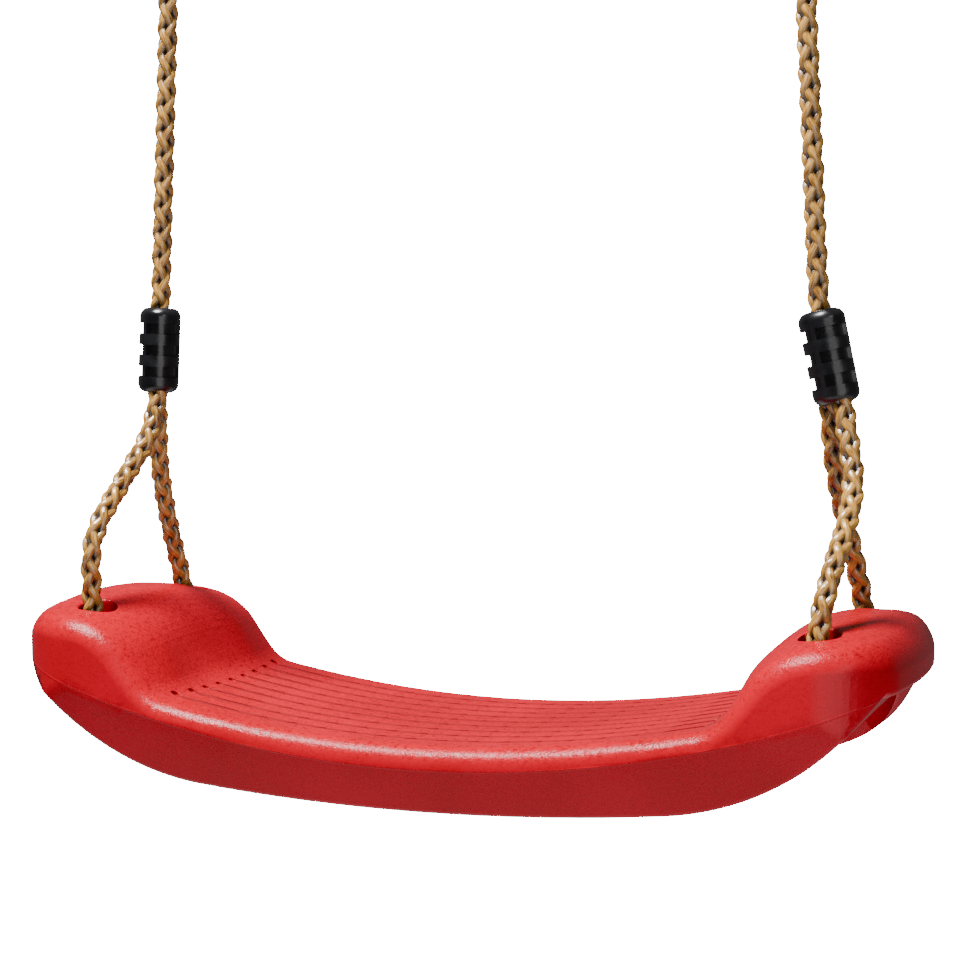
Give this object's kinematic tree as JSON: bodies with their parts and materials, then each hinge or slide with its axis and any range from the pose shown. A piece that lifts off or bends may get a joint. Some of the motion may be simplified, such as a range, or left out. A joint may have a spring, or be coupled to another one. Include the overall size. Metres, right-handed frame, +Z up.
{
  "type": "playground swing seat",
  "caption": "Curved hollow plastic swing seat on two rope loops held by moulded clamps, hung from steel rings so that it swings and rocks.",
  "frame": {"origin": "middle of the hanging line, which runs through the centres of the two rings' lowest wire", "axes": "+X to the sitter's left along the seat, -Y the front edge, +Z up"},
  "size_m": [0.428, 0.152, 0.539],
  "materials": {
    "seat_plastic": "fine grained crimson blow-moulded polyethylene",
    "rope_fibre": "glossy golden brown plaited polypropylene",
    "clamp_plastic": "smooth black moulded plastic",
    "ring_steel": "zinc plated steel wire"
  },
  "bodies": {
    "rings": {"left_ring": "ring_steel", "right_ring": "ring_steel"},
    "hanger": {"left_rope_riser": "rope_fibre", "right_rope_riser": "rope_fibre", "left_rope_eye": "rope_fibre", "right_rope_eye": "rope_fibre", "left_upper_clamp": "clamp_plastic", "right_upper_clamp": "clamp_plastic"},
    "seat": {"seat_shell": "seat_plastic", "left_rope_loop": "rope_fibre", "right_rope_loop": "rope_fibre", "left_lower_clamp": "clamp_plastic", "right_lower_clamp": "clamp_plastic"}
  },
  "joints": [
    {"name": "swing", "type": "hinge", "parent": "rings", "child": "hanger", "pos_m": [0, 0, 0], "axis": [1, 0, 0], "range_deg": [-60, 60]},
    {"name": "seat_rock", "type": "hinge", "parent": "hanger", "child": "seat", "pos_m": [0, 0, -0.254], "axis": [1, 0, 0], "range_deg": [-30, 30]}
  ]
}
